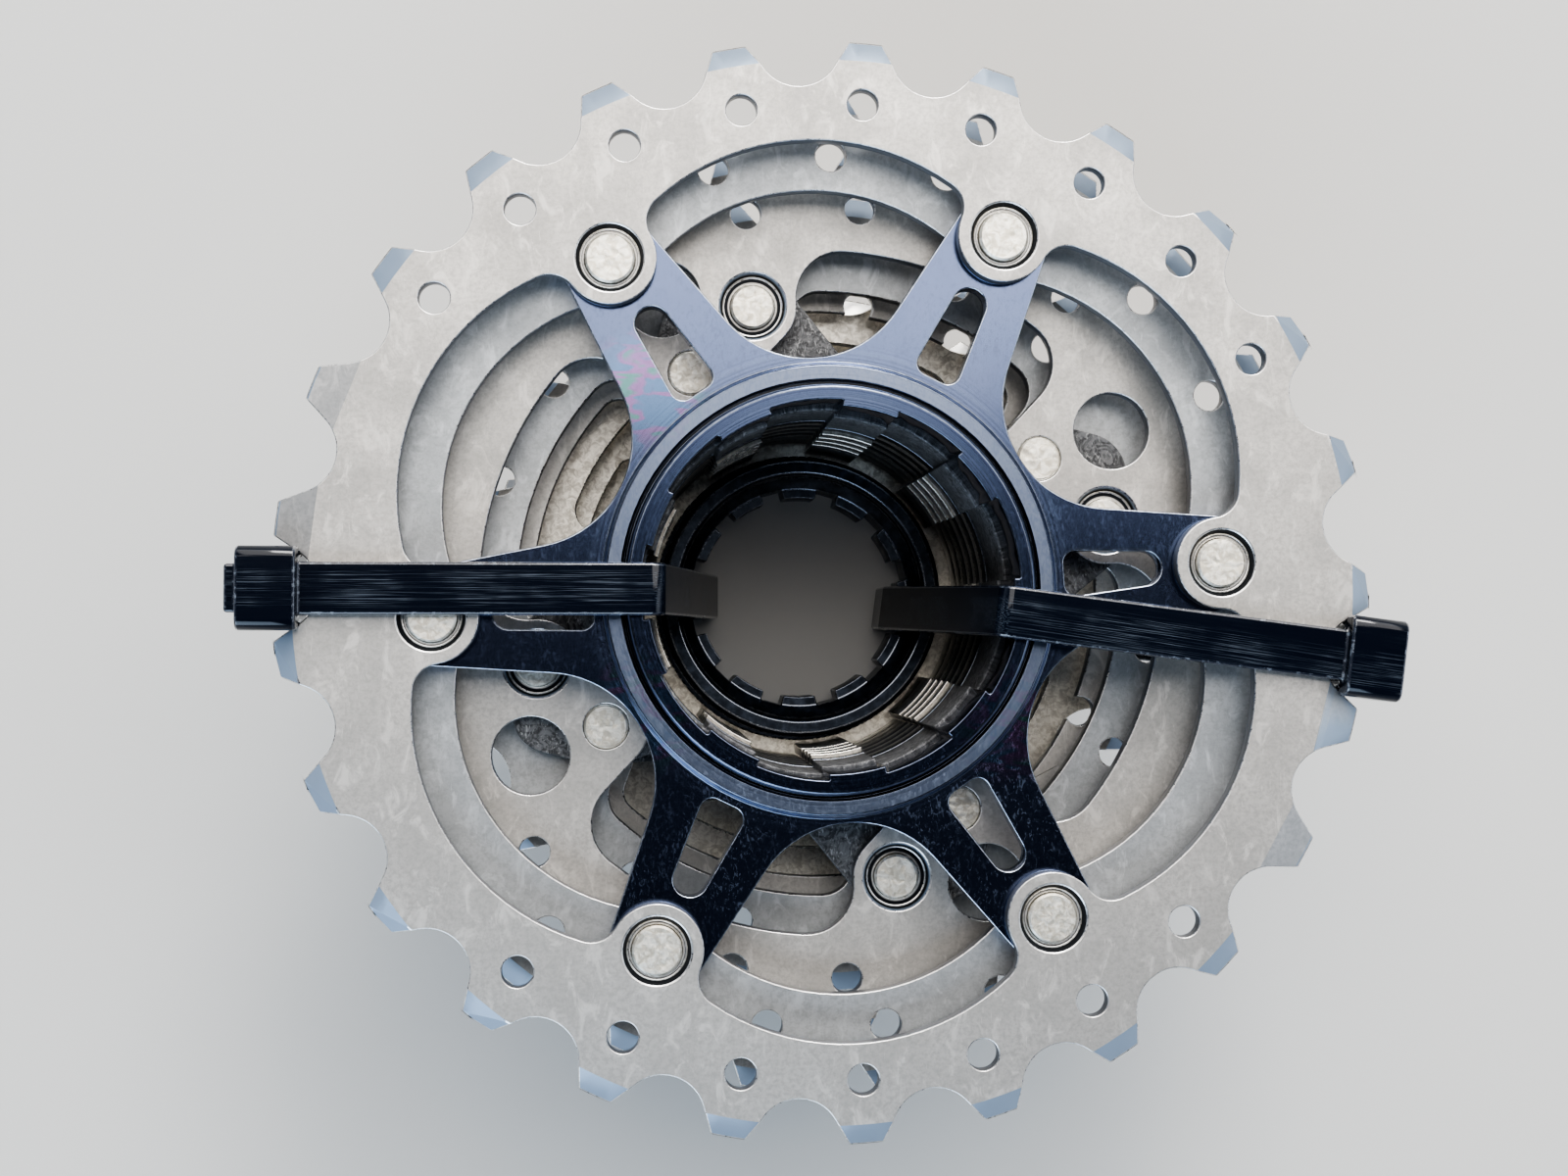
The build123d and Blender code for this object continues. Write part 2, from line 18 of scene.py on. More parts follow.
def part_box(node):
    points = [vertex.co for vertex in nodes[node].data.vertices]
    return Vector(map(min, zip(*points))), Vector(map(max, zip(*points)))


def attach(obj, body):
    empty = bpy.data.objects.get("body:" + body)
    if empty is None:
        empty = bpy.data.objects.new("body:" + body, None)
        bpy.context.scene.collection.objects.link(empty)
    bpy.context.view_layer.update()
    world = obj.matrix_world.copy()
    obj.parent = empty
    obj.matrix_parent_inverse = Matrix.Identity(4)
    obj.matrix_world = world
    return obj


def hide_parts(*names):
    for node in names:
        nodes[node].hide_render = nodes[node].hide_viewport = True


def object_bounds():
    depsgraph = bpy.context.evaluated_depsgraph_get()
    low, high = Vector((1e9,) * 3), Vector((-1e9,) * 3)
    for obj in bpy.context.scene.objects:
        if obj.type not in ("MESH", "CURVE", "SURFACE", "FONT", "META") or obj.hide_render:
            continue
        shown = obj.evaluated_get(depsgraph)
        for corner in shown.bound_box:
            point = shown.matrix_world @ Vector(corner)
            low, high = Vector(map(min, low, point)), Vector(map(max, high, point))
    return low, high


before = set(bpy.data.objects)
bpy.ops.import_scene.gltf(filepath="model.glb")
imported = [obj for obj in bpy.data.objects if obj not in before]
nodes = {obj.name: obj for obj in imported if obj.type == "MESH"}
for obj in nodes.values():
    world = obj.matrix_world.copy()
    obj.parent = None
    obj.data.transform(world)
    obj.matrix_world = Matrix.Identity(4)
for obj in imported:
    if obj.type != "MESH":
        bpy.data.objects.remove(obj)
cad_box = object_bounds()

MM = 0.001


def in_mm(metres):
    """Lengths in millimetres, rounded for print."""
    return [round(length / MM, 2) for length in metres]


print("nodes", len(nodes), "box in mm", [in_mm(corner) for corner in cad_box])

# %% [markdown]
# ## The camera
#
# The bundle is looked at almost straight down its axle, from close by, so the nearer big sprocket
# looks larger than the rest. A camera placed by its eye and its target is easier to reason about
# than one turned by angles. The eye is about 1.8 diameters of the big sprocket above it, a little
# to the left. Both points are given in radii of that sprocket, so they follow its size.

# %% Aim the camera
big_low, big_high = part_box("sprocket_25t")
big_radius = (big_high.y - big_low.y) / 2
EYE = Vector((-0.3677, -0.0889, 3.6098)) * big_radius
TARGET = Vector((-0.0881, 0.0023, 0.0)) * big_radius
PICTURE_UP = Vector((0, 1, 0))


def look(eye, target):
    """Placement matrix of something that looks from eye to target along its own -Z."""
    back = (eye - target).normalized()
    right = PICTURE_UP.cross(back).normalized()
    turn = Matrix((right, back.cross(right), back)).transposed()
    return Matrix.Translation(eye) @ turn.to_4x4()


print("eye", in_mm(EYE), "target", in_mm(TARGET))

# %% Build the camera
LENS = 46.17
SENSOR = 36.0
NEAREST = 5 * MM
FARTHEST = 20.0

scene = bpy.context.scene
camera_data = bpy.data.cameras.new("camera")
camera_data.lens = LENS
camera_data.sensor_width = SENSOR
camera_data.clip_start = NEAREST
camera_data.clip_end = FARTHEST
camera = bpy.data.objects.new("camera", camera_data)
camera.matrix_world = look(EYE, TARGET)
scene.collection.objects.link(camera)
scene.camera = camera
print("camera", round(EYE.length / MM), "mm from the bore")

# %% [markdown]
# ## The floor
#
# The bundle stands on a plain pale floor. It could be a studio sweep that curves up behind the
# object, but a flat sheet is enough for a view from above. It is made far larger than the bundle,
# so that its end doesn't show from low angles either.

# %% Lay the floor
FLOOR_HALF = 4.0
FLOOR_PAINT = (0.60, 0.585, 0.56, 1)
FLOOR_ROUGHNESS = 0.8

ground = cad_box[0].z
signs = ((-1, -1), (1, -1), (1, 1), (-1, 1))
corners = [(x * FLOOR_HALF, y * FLOOR_HALF, ground) for x, y in signs]
floor_mesh = bpy.data.meshes.new("floor")
floor_mesh.from_pydata(corners, [], [(0, 1, 2, 3)])
floor = bpy.data.objects.new("floor", floor_mesh)
scene.collection.objects.link(floor)

floor_paint = bpy.data.materials.new("floor_paint")
floor_paint.use_nodes = True
floor_shader = floor_paint.node_tree.nodes["Principled BSDF"]
floor_shader.inputs["Base Color"].default_value = FLOOR_PAINT
floor_shader.inputs["Roughness"].default_value = FLOOR_ROUGHNESS
floor_mesh.materials.append(floor_paint)
print("floor at", round(ground / MM, 2), "mm")

# %% [markdown]
# ## The lights
#
# Metal is mostly a picture of what stands round it, so the lights matter more than the paint. One
# wide softbox hangs on the far side, with its near edge almost straight above the bore. A face
# there mirrors the box and turns pale, and a face on the near side mirrors the dim ceiling and
# stays dark. That is what makes the far arms of the spider light blue and the near ones nearly
# black. A small box lower down, like a window, draws the shadows under the arms and the thin
# bright lines on the corners. Two weak cool boxes keep the near side readable.

# %% Hang the softboxes
BORE = Vector((0, 0, 0))


def softbox(name, lean, side, distance, size, power, colour):
    """A lamp aimed at the bore, leaned from overhead towards +Y and +X, in degrees."""
    data = bpy.data.lights.new(name, "AREA")
    data.shape = "RECTANGLE"
    data.size, data.size_y = size
    data.energy = power
    data.color = colour
    lamp = bpy.data.objects.new(name, data)
    way = Vector((math.tan(math.radians(side)), math.tan(math.radians(lean)), 1))
    lamp.matrix_world = look(way.normalized() * distance, BORE)
    scene.collection.objects.link(lamp)


softbox("key_box", lean=39.5, side=6, distance=0.95, size=(1.5, 1.2), power=12.5,
        colour=(1.0, 0.965, 0.92))
softbox("window_box", lean=54, side=12, distance=1.0, size=(0.34, 0.34), power=4.8,
        colour=(1.0, 0.98, 0.95))
softbox("near_box", lean=-52, side=-32, distance=1.0, size=(1.1, 0.6), power=6.5,
        colour=(0.66, 0.82, 1.0))
softbox("side_box", lean=-12, side=58, distance=1.0, size=(0.5, 0.5), power=0.9,
        colour=(0.85, 0.92, 1.0))

# %% [markdown]
# ## One call for one shader node
#
# The room and every finish are small networks of shader nodes. Making a node, setting its inputs
# and linking them takes four or five lines each time, and hides what the network does. So one
# function makes any node: an input that is given a number keeps it, and an input that is given
# another node's output is linked to it.


# %% Wire a shader node
def plug(tree, socket, value):
    """Links a node's output into a socket, or sets a plain value on it."""
    if isinstance(value, bpy.types.NodeSocket):
        tree.links.new(value, socket)
    else:
        socket.default_value = value


def shader_node(tree, kind, values, out=0, **settings):
    """Adds a node, its inputs given by name or number, and gives one of its outputs."""
    made = tree.nodes.new("ShaderNode" + kind)
    for name, value in settings.items():
        setattr(made, name, value)
    for socket, value in values.items():
        plug(tree, made.inputs[socket], value)
    return made.outputs[out]


# %% [markdown]
# ## The room
#
# Between the lamps, metal mirrors the room. A room of one even grey would make the flat faces
# milky. Here the walls are pale and the ceiling is dark: the walls show in the teeth and keep the
# horizon light, and the ceiling shows in the flat faces. The brightness follows the height of a
# direction, from 0 at the horizon to 1 overhead.

# %% Paint the room
ROOM_COLOUR = (0.72, 0.80, 0.94, 1)
WALL_GLOW = 0.55
CEILING_GLOW = 0.05
WALL_TOP = 0.15
CEILING_EDGE = 0.75

world = bpy.data.worlds.new("room")
world.use_nodes = True
room = world.node_tree
backdrop = room.nodes["Background"]
direction = shader_node(room, "TexCoord", {}, "Generated")
glow = shader_node(room, "MapRange", {
    "Value": shader_node(room, "SeparateXYZ", {0: direction}, "Z"),
    "From Min": WALL_TOP, "From Max": CEILING_EDGE,
    "To Min": WALL_GLOW, "To Max": CEILING_GLOW,
}, interpolation_type="SMOOTHSTEP")
plug(room, backdrop.inputs["Color"], ROOM_COLOUR)
plug(room, backdrop.inputs["Strength"], glow)
scene.world = world
print("room glows", WALL_GLOW, "at the walls and", CEILING_GLOW, "at the ceiling")

# %% [markdown]
# The lamps make a wide range of light, from the mirrored softbox to the depth of the bore, and the
# view turns it into a picture. A high-contrast look keeps the nylon black and the titanium pale,
# and a small lift in exposure makes up for the midtones that it darkens.

# %% Set contrast and exposure
CONTRAST = "AgX - High Contrast"
EXPOSURE = 0.2

scene.view_settings.look = CONTRAST
scene.view_settings.exposure = EXPOSURE
print("look", CONTRAST, "exposure", EXPOSURE)

# %% [markdown]
# ## A small mixing bench for finishes
#
# Every finish here is a handful of noises that steer colour, roughness and relief. The bench is a
# class that holds one material, and each of its methods adds a node and hands back what comes out
# of it. It is built up in three layers. The first starts the material and blends values. Most
# blends are soft steps: below one value of a noise nothing shows, above another all of it does.


# %% The bench: steps and blends
def tools(bench):
    """Names of the methods that a layer of the bench adds."""
    return [name for name in vars(bench) if not name.startswith("_")]


class Blends:
    """A material being mixed."""

    def __init__(self, name, **uniform):
        self.material = bpy.data.materials.new(name)
        self.material.use_nodes = True
        self.tree = self.material.node_tree
        self.shader = self.tree.nodes["Principled BSDF"]
        for socket, value in uniform.items():
            self.shader.inputs[socket.replace("_", " ")].default_value = value

    def node(self, kind, values, out=0, **settings):
        """Any shader node."""
        return shader_node(self.tree, kind, values, out, **settings)

    def level(self, value, low, high, start=0.0, end=1.0):
        """A soft step: start below low, end above high."""
        values = {"Value": value, "From Min": low, "From Max": high}
        values.update({"To Min": start, "To Max": end})
        return self.node("MapRange", values, interpolation_type="SMOOTHSTEP")

    def band(self, value, inner, outer, soft):
        """1 between inner and outer, 0 elsewhere, with soft edges."""
        rise = self.level(value, inner - soft, inner + soft)
        fall = self.level(value, outer - soft, outer + soft, start=1.0, end=0.0)
        return self.times(rise, fall)

    def sum(self, first, second, share=1.0):
        """One value plus a share of another."""
        return self.node("Math", {0: second, 1: share, 2: first}, operation="MULTIPLY_ADD")

    def times(self, first, second):
        """One value times another."""
        return self.node("Math", {0: first, 1: second}, operation="MULTIPLY")

    def blend(self, share, first, second):
        """Colour that runs from the first to the second as share goes from 0 to 1."""
        pair = [(*c, 1) if isinstance(c, tuple) and len(c) == 3 else c for c in (first, second)]
        return self.node("Mix", {0: share, 6: pair[0], 7: pair[1]}, out=2, data_type="RGBA")


print("blends", tools(Blends))

# %% [markdown]
# The second layer measures where a point is. Coordinates are the piece's own, so a pattern stays
# on the metal when the piece turns. The axle is the Z axis, so the distance from it is the length
# of X and Y alone, and a face's normal tells a flat face from a bevel or a wall.


# %% The bench: places
class Places(Blends):
    """A material that knows where on the piece it is."""

    def __init__(self, name, **uniform):
        super().__init__(name, **uniform)
        self.place = self.node("TexCoord", {}, "Object")
        self.facing = self.node("TexCoord", {}, "Normal")

    def moved(self, shift=(0, 0, 0), turn=0.0, stretch=(1, 1, 1), where=None):
        """The piece's coordinates, shifted, turned about the axle and stretched."""
        values = {"Vector": where or self.place, "Location": shift}
        return self.node("Mapping", {**values, "Rotation": (0, 0, turn), "Scale": stretch})

    def flat(self):
        """The piece's coordinates with their height left out."""
        return self.node("VectorMath", {0: self.place, 1: (1, 1, 0)}, operation="MULTIPLY")

    def radius(self):
        """Distance from the axle."""
        return self.node("VectorMath", {0: self.flat()}, out=1, operation="LENGTH")

    def distance(self, centres):
        """Distance in the plate's plane from the nearest of some (x, y) centres, up to 1 m."""
        flat = self.flat()
        nearest = 1.0
        for x, y in centres:
            ends = {0: flat, 1: (x, y, 0)}
            reach = self.node("VectorMath", ends, out=1, operation="DISTANCE")
            nearest = self.node("Math", {0: reach, 1: nearest}, operation="MINIMUM")
        return nearest

    def wall(self, flat, steep):
        """0 where a face looks along the axle, 1 where it is a wall.

        The two limits are how much of the normal points along the axle."""
        upright = self.node("SeparateXYZ", {0: self.facing}, out=2)
        upright = self.node("Math", {0: upright}, operation="ABSOLUTE")
        return self.level(upright, steep, flat, start=1.0, end=0.0)

    def across(self, where):
        """Distance from the middle line of a strap that runs along the coordinates' X."""
        side = self.node("SeparateXYZ", {0: where}, out=1)
        return self.node("Math", {0: side}, operation="ABSOLUTE")


print("places", tools(Places))

# %% [markdown]
# The third layer holds the noises and closes the material. A noise runs from 0 to 1, but most of
# it lies between 0.3 and 0.7, so a step from 0.35 to 0.65 gives soft clouds and one from 0.70 to
# 0.76 picks out a few rare marks. Its size, in metres, is the width of one blotch.


# %% The bench: noises
class Finish(Places):
    """A finish: noises that steer colour, roughness and relief."""

    def noise(self, size, detail=2.0, rough=0.5, where=None, twist=0.0):
        """Cloudy noise from 0 to 1 with blotches of this size."""
        values = {"Vector": where or self.place, "Scale": 1 / size, "Detail": detail}
        return self.node("TexNoise", {**values, "Roughness": rough, "Distortion": twist})

    def rings(self, pitch, detail):
        """Lathe lines: a noise that changes with the radius alone."""
        along = self.times(self.radius(), 1 / pitch)
        values = {"W": along, "Scale": 1.0, "Detail": detail}
        return self.node("TexNoise", values, noise_dimensions="1D")

    def finish(self, colour, roughness, height=None, depth=0.0):
        """Plugs colour, roughness and relief into the shader and gives the material."""
        plug(self.tree, self.shader.inputs["Base Color"], colour)
        plug(self.tree, self.shader.inputs["Roughness"], roughness)
        if height is not None:
            relief = self.node("Bump", {"Strength": 1.0, "Distance": depth, "Height": height})
            plug(self.tree, self.shader.inputs["Normal"], relief)
        return self.material


print("noises", tools(Finish))

# %% [markdown]
# ## Where the rivets are
#
# The spider's arms end in rivets, and shade is painted dark in the shallow dish that each big
# rivet sits in. The CAD rows of rivets are single meshes with one island per rivet. Walking the
# islands gives every centre, and the corners of one island, read as distance from its centre and
# height, give the turned profile of the rivet. So neither the finishes nor the new rivets need a
# number typed in.

# %% Walk the islands of a mesh
SEAM = 0.001 * MM


def islands(node):
    """The loose parts of a CAD mesh, each as a list of points."""
    shape = bmesh.new()
    shape.from_mesh(nodes[node].data)
    bmesh.ops.remove_doubles(shape, verts=shape.verts, dist=SEAM)
    shape.verts.index_update()
    found, seen = [], set()
    for start in shape.verts:
        if start.index in seen:
            continue
        seen.add(start.index)
        island, waiting = [], [start]
        while waiting:
            corner = waiting.pop()
            island.append(nodes[node].matrix_world @ corner.co)
            fresh = [edge.other_vert(corner) for edge in corner.link_edges]
            fresh = [other for other in fresh if other.index not in seen]
            seen.update(other.index for other in fresh)
            waiting += fresh
        found.append(island)
    shape.free()
    return found


# %% Read the rivets
HEIGHT_DIGITS = 6
REACH_DIGITS = 5
SMALLEST_REACH = 0.5 * MM


def middle(points, axis):
    """Halfway between the lowest and the highest of some points along one axis."""
    along = [point[axis] for point in points]
    return (min(along) + max(along)) / 2


def rivet_row(node):
    """Centres of a row of rivets and the turned profile they share, from head to foot."""
    row = islands(node)
    centres = [(middle(part, 0), middle(part, 1)) for part in row]
    x, y = centres[0]
    turned = {(round(-p.z, HEIGHT_DIGITS), round(math.hypot(p.x - x, p.y - y), REACH_DIGITS))
              for p in row[0]}
    return centres, [(reach, -drop) for drop, reach in sorted(turned) if reach > SMALLEST_REACH]


rivet_rows = {node: rivet_row(node) for node in sorted(nodes) if node.endswith("_rivets")}
for node, (centres, profile) in rivet_rows.items():
    print(node, len(centres), [tuple(in_mm(point)) for point in profile])

# %% [markdown]
# ## Titanium
#
# The five big rings are blasted titanium: matte and faintly warm, with cloudy handling marks, a
# fine grain, pale smears and a few scratches. Each is a noise of its own size, laid over the last
# one. The second and fourth rings are a cooler grey. Every ring moves the noises a little, so no
# two rings show the same clouds.

# %% Blast the titanium
CLOUD_DARK, CLOUD_PALE = 0.82, 1.08
PIT_DARK = 0.62
SMEAR_PALE = 1.28
SCRATCH_PALE = 1.4


def tinted(colour, share):
    """A colour made lighter or darker."""
    return tuple(min(1.0, channel * share) for channel in colour)


def blasted(mix, tint, seed):
    """The colour of the blasted face, its clouds and its relief."""
    where = mix.moved(shift=(seed, seed * 0.7, 0))
    clouds = mix.noise(size=8 * MM, detail=4.0, rough=0.6, where=where)
    grain = mix.noise(size=0.5 * MM, detail=4.0, rough=0.7, where=where)
    drawn = mix.moved(shift=(seed, 0, 0), turn=0.5, stretch=(1, 0.55, 1))
    smears = mix.noise(size=1.8 * MM, detail=4.0, rough=0.65, where=drawn, twist=0.9)
    drawn = mix.moved(shift=(0, seed, 0), turn=0.9, stretch=(1, 0.07, 1))
    scratches = mix.noise(size=0.3 * MM, detail=2.0, rough=0.5, where=drawn, twist=1.5)
    share = mix.level(clouds, low=0.32, high=0.68)
    colour = mix.blend(share, tinted(tint, CLOUD_DARK), tinted(tint, CLOUD_PALE))
    share = mix.level(grain, low=0.38, high=0.66, end=0.5)
    colour = mix.blend(share, colour, tinted(tint, PIT_DARK))
    share = mix.level(smears, low=0.52, high=0.68, end=0.6)
    colour = mix.blend(share, colour, tinted(tint, SMEAR_PALE))
    share = mix.level(scratches, low=0.70, high=0.76, end=0.4)
    colour = mix.blend(share, colour, tinted(tint, SCRATCH_PALE))
    return colour, clouds, mix.sum(grain, smears, share=0.4)


# %% [markdown]
# Tooth tips and cut walls were machine-finished after blasting, so they are smoother. The bevels
# are tinted blue-grey as a painted reflection of the cool room, and the walls are painted dark
# grey as shade. The tips and walls could be painted as separate faces, but the shader can find
# them by the way they face. Round the big rivets, painted shade darkens the metal under the edge
# of the head and on the sloping wall of the dish. Both are rings at a known distance from the
# rivet's centre.

# %% Machine the tips, paint reflection on the bevels and shade on walls and dishes
# painted reflection: the bevels' blue-grey stands in for the cool room they mirror; painted shade:
# the walls' dark grey
TIP_REFLECTION_BLUE = (0.27, 0.33, 0.41)
WALL_SHADE_GREY = (0.14, 0.14, 0.145)
# painted shade: the near-black of the rivet dishes and of the hub's groove
SHADE_BLACK = (0.018, 0.02, 0.024)
UNDER_HEAD = 0.12 * MM
DISH_WALL = (0.26 * MM, 0.98 * MM)


def machined_with_painted_light(mix, colour):
    """The colour with a painted reflection on the bevels and painted shade on the walls, and the
    share that is machine-finished.
    """
    cut = mix.wall(flat=0.985, steep=0.93)
    # painted reflection on the bevels, then painted shade on the walls
    colour = mix.blend(cut, colour, TIP_REFLECTION_BLUE)
    return mix.blend(mix.wall(flat=0.35, steep=0.15), colour, WALL_SHADE_GREY), cut


def painted_dish_shade(mix, colour, centres, profile):
    """The colour with painted shade: a dark ring under each rivet's head and one on the wall of
    its dish.
    """
    head = profile[1][0]
    reach = mix.distance(centres)
    # painted shade under the head's edge and on the dish's sloping wall
    shadow = mix.band(reach, inner=0, outer=head + UNDER_HEAD, soft=0.05 * MM)
    inner, outer = (head + step for step in DISH_WALL)
    slope_shade = mix.band(reach, inner, outer, soft=0.07 * MM)
    return mix.blend(slope_shade, mix.blend(shadow, colour, SHADE_BLACK), SHADE_BLACK)


print("dish wall in mm", in_mm(DISH_WALL), "past the rivet's head")

# %% [markdown]
# A blasted surface scatters more light than a polished one, so a share of the finish is not
# metallic at all: it keeps the rings pale wherever they face.

# %% Mix titanium for each ring
WARM = (0.575, 0.555, 0.53)
COOL = (0.50, 0.515, 0.53)
RING_TINTS = {
    "sprocket_25t": WARM,
    "sprocket_23t": COOL,
    "sprocket_21t": WARM,
    "sprocket_19t": COOL,
    "sprocket_17t": WARM,
}
RING_SHIFT = 0.05
GRAIN_DEPTH = 0.012 * MM
dish_rows = {
    "sprocket_25t": rivet_rows["alloy_spider_rivets"],
    "sprocket_21t": rivet_rows["carbon_outer_rivets"],
}


def titanium(name, tint, seed, dishes):
    """Blasted titanium: machine-finished bevels with a painted reflection, painted shade on walls
    and rivet dishes.
    """
    mix = Finish(name)
    colour, clouds, relief = blasted(mix, tint, seed)
    colour, cut = machined_with_painted_light(mix, colour)
    if dishes:
        colour = painted_dish_shade(mix, colour, *dishes)
    roughness = mix.level(clouds, low=0.2, high=0.8, start=0.52, end=0.42)
    roughness = mix.sum(roughness, cut, share=-0.12)
    metallic = mix.level(cut, low=0.0, high=1.0, start=0.85, end=0.3)
    plug(mix.tree, mix.shader.inputs["Metallic"], metallic)
    return mix.finish(colour, roughness, relief, depth=GRAIN_DEPTH)


titanium_paints = {
    ring: titanium(f"titanium_{ring}", tint, RING_SHIFT * place, dish_rows.get(ring))
    for place, (ring, tint) in enumerate(RING_TINTS.items())
}
print("titanium rings", len(titanium_paints))

# %% [markdown]
# ## Worn and highlit corners
#
# Handling rubs a metal edge bright long before it touches the faces, and a corner also catches a
# thin line of light. The edge colours stand for both: they are paler than the faces, partly wear
# and partly a painted highlight. Each CAD piece carries two finishes: the first covers its faces,
# and the second covers the narrow bevel that is cut along its edges further down. The second one
# is a shinier, paler metal with small nicks.

# %% Mix the worn, highlit corners
NICK = 0.5 * MM
NICK_DARK = 0.75


def worn_highlit_edge(name, tint, roughness):
    """Bright narrow edge where handling has polished the corner, painted paler as a highlight."""
    mix = Finish(name, Metallic=1.0)
    nicks = mix.noise(size=NICK, detail=3.0, rough=0.7)
    colour = mix.blend(mix.level(nicks, low=0.35, high=0.7), tinted(tint, NICK_DARK), tint)
    smooth, dull = roughness * 0.8, roughness * 1.3
    return mix.finish(colour, mix.level(nicks, low=0.3, high=0.7, start=smooth, end=dull))


# painted highlight: each edge tint is far paler than the face it borders, on top of real wear
titanium_highlit_edge = worn_highlit_edge("titanium_highlit_edge", (0.82, 0.81, 0.80), roughness=0.3)
nickel_edge = worn_highlit_edge("nickel_edge", (0.90, 0.87, 0.80), roughness=0.25)
dark_highlit_edge = worn_highlit_edge("dark_highlit_edge", (0.26, 0.28, 0.32), roughness=0.25)
finishes = {ring: (paint, titanium_highlit_edge) for ring, paint in titanium_paints.items()}
print("pieces with a finish", len(finishes))

# %% [markdown]
# ## Nickel-plated steel
#
# The loose sprockets are steel under a satin nickel plate: warmer and brighter than titanium, with
# a mottle that shows in the gaps as creamy speckle. Two noises are enough, a fine one for the
# speckle and a wide one that greys it in places.

# %% Mix nickel plate
MOTTLE_DARK, MOTTLE_PALE = (0.52, 0.48, 0.42), (0.88, 0.84, 0.76)
NICKEL_GREY = (0.66, 0.64, 0.60)
NICKEL_WALL = (0.52, 0.51, 0.49)
STEEL_SHIFT = 0.04
WASHER_SHIFT = 0.5


def nickel(name, seed):
    """Satin nickel plate with a creamy mottle."""
    mix = Finish(name, Metallic=0.9)
    where = mix.moved(shift=(seed, 0, seed))
    mottle = mix.noise(size=0.7 * MM, detail=4.0, rough=0.7, where=where, twist=0.8)
    clouds = mix.noise(size=9 * MM, where=where)
    colour = mix.blend(mix.level(mottle, low=0.35, high=0.65), MOTTLE_DARK, MOTTLE_PALE)
    colour = mix.blend(mix.level(clouds, low=0.4, high=0.7, end=0.4), colour, NICKEL_GREY)
    colour = mix.blend(mix.wall(flat=0.985, steep=0.9), colour, NICKEL_WALL)
    roughness = mix.level(mottle, low=0.3, high=0.7, start=0.42, end=0.3)
    return mix.finish(colour, roughness, mottle, depth=0.02 * MM)


steel_sprockets = [name for name in sorted(nodes)
                   if name.startswith("sprocket_") and name not in RING_TINTS]
for place, sprocket in enumerate(steel_sprockets):
    finishes[sprocket] = (nickel(f"nickel_{sprocket}", STEEL_SHIFT * place), nickel_edge)
finishes["lock_ring_washer"] = (nickel("nickel_washer", WASHER_SHIFT), nickel_edge)
print("steel sprockets", steel_sprockets)

# %% [markdown]
# ## Blue-black anodised aluminium
#
# The spider was turned and milled, then dyed navy. The dye lies in a clear glassy oxide, so a thin
# coat over a dark blue metal gives the same depth. Fine concentric lines from the lathe fade out
# past the turned band, where the milled arms begin. On the arms the dye is worn into a speckle of
# short pale worms, most of it in two places on the near side.

# %% Dye and wear
COLLAR_GROOVE = (19.0 * MM, 19.6 * MM)
BAND_EDGE = 21.6 * MM
LATHE_FADE = 3 * MM
DYE, DYE_PALE, DYE_DEEP = (0.135, 0.17, 0.28), (0.155, 0.195, 0.31), (0.09, 0.12, 0.21)
DYE_WORN = (0.22, 0.26, 0.34)
WORN_SPOTS = [(-10 * MM, -28 * MM), (15 * MM, -25 * MM)]


def dyed(mix):
    """The navy dye and the fine lathe lines in it."""
    turned = mix.level(mix.radius(), BAND_EDGE, BAND_EDGE + LATHE_FADE, start=1.0, end=0.05)
    lines = mix.times(mix.rings(pitch=0.22 * MM, detail=2.0), turned)
    broad = mix.times(mix.rings(pitch=1.3 * MM, detail=1.0), turned)
    cloud = mix.noise(size=5 * MM, detail=3.0)
    colour = mix.blend(mix.level(broad, low=0.3, high=0.7), DYE, DYE_PALE)
    return mix.blend(mix.level(cloud, low=0.35, high=0.7, end=0.15), colour, DYE_DEEP), lines


def worn_worms(mix):
    """The noise of the worms, and how much of it is worn through."""
    drawn = mix.moved(turn=0.8, stretch=(1, 0.5, 1))
    worms = mix.noise(size=0.42 * MM, detail=4.0, rough=0.6, where=drawn, twist=1.6)
    wear = mix.level(mix.noise(size=8 * MM), low=0.38, high=0.6, start=0.2, end=0.6)
    rubbed = mix.level(mix.distance(WORN_SPOTS), 6 * MM, 15 * MM, start=1.0, end=0.08)
    return worms, mix.times(mix.level(worms, low=0.50, high=0.66), mix.times(wear, rubbed))


print("turned band from", *in_mm((COLLAR_GROOVE[1], BAND_EDGE)), "mm")

# %% [markdown]
# The oxide is thick enough in three places to show colours, as a film of oil does on water: green,
# then pink, then blue as it thickens. One noise stands for the thickness, and two steps on it
# change the colour. Round the bore lie three turned rings, at distances from the axle: a dark
# collar, a groove painted dark as shade, and a paler satin band.

# %% Film colours and turned rings
FILM_GREEN, FILM_PINK, FILM_BLUE = (0.13, 0.33, 0.27), (0.36, 0.18, 0.40), (0.14, 0.25, 0.42)
FILM_SPOTS = [(-17.0 * MM, 18.5 * MM), (-17.5 * MM, -11.5 * MM), (17.0 * MM, -12.5 * MM)]
BAND_PALE = (0.24, 0.28, 0.37)
BAND_RIM = 0.4 * MM
COLLAR_DARK = (0.03, 0.05, 0.11)


def filmed(mix, colour):
    """The colour with oxide colours in three places."""
    drawn = mix.moved(turn=0.3, stretch=(0.4, 1, 1))
    film = mix.noise(size=1.7 * MM, where=drawn, twist=0.5)
    rainbow = mix.blend(mix.level(film, low=0.38, high=0.46), FILM_GREEN, FILM_PINK)
    rainbow = mix.blend(mix.level(film, low=0.50, high=0.58), rainbow, FILM_BLUE)
    near = mix.level(mix.distance(FILM_SPOTS), 2.5 * MM, 6.5 * MM, start=0.62, end=0.0)
    return mix.blend(near, colour, rainbow)


